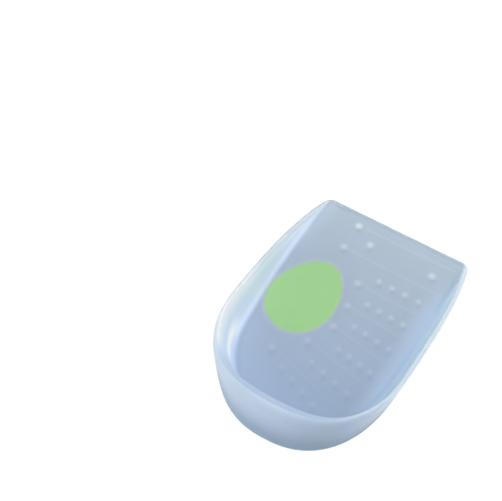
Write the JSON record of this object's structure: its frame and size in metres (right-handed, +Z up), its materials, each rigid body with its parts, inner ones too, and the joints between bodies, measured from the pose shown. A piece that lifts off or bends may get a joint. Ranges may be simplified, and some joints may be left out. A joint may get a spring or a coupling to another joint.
{
  "type": "heel cup",
  "caption": "Soft gel heel cup for a shoe: a tapering sole with a raised rim round the heel and a softer egg-shaped spot let into its floor.",
  "frame": {"origin": "on the ground under the middle of the cup's bounding box", "axes": "+Y from the heel to the thin front edge, +X to the right seen from above with the heel nearest, +Z up"},
  "size_m": [0.0728, 0.1041, 0.0228],
  "materials": {
    "gel": "satin, cloudy translucent",
    "soft_gel": "satin, pale green"
  },
  "bodies": {
    "root": {"gel_cup": "gel", "soft_spot": "soft_gel"}
  },
  "joints": []
}
